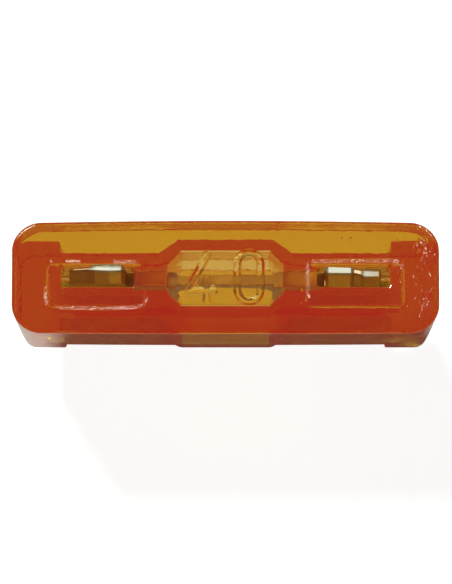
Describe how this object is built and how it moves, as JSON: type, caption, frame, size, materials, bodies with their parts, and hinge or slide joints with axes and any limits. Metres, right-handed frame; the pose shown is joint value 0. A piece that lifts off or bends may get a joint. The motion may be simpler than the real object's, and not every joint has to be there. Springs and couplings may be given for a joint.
{
  "type": "automotive blade fuse",
  "caption": "Regular-size blade fuse: a clear amber moulded housing over a stamped link, with flat plug-in blades below and test tabs in the openings of the head.",
  "frame": {"origin": "middle of the housing's lower face, where the blades leave it and the fuse seats on its holder", "axes": "+X along the length of the head, +Y from front to back through the thickness, +Z from the blades up to the head"},
  "size_m": [0.019, 0.0052, 0.0187],
  "materials": {
    "clear_amber_plastic": "gloss",
    "plated_metal": "satin"
  },
  "bodies": {
    "root": {"housing": "clear_amber_plastic", "fuse_element": "plated_metal"}
  },
  "joints": []
}
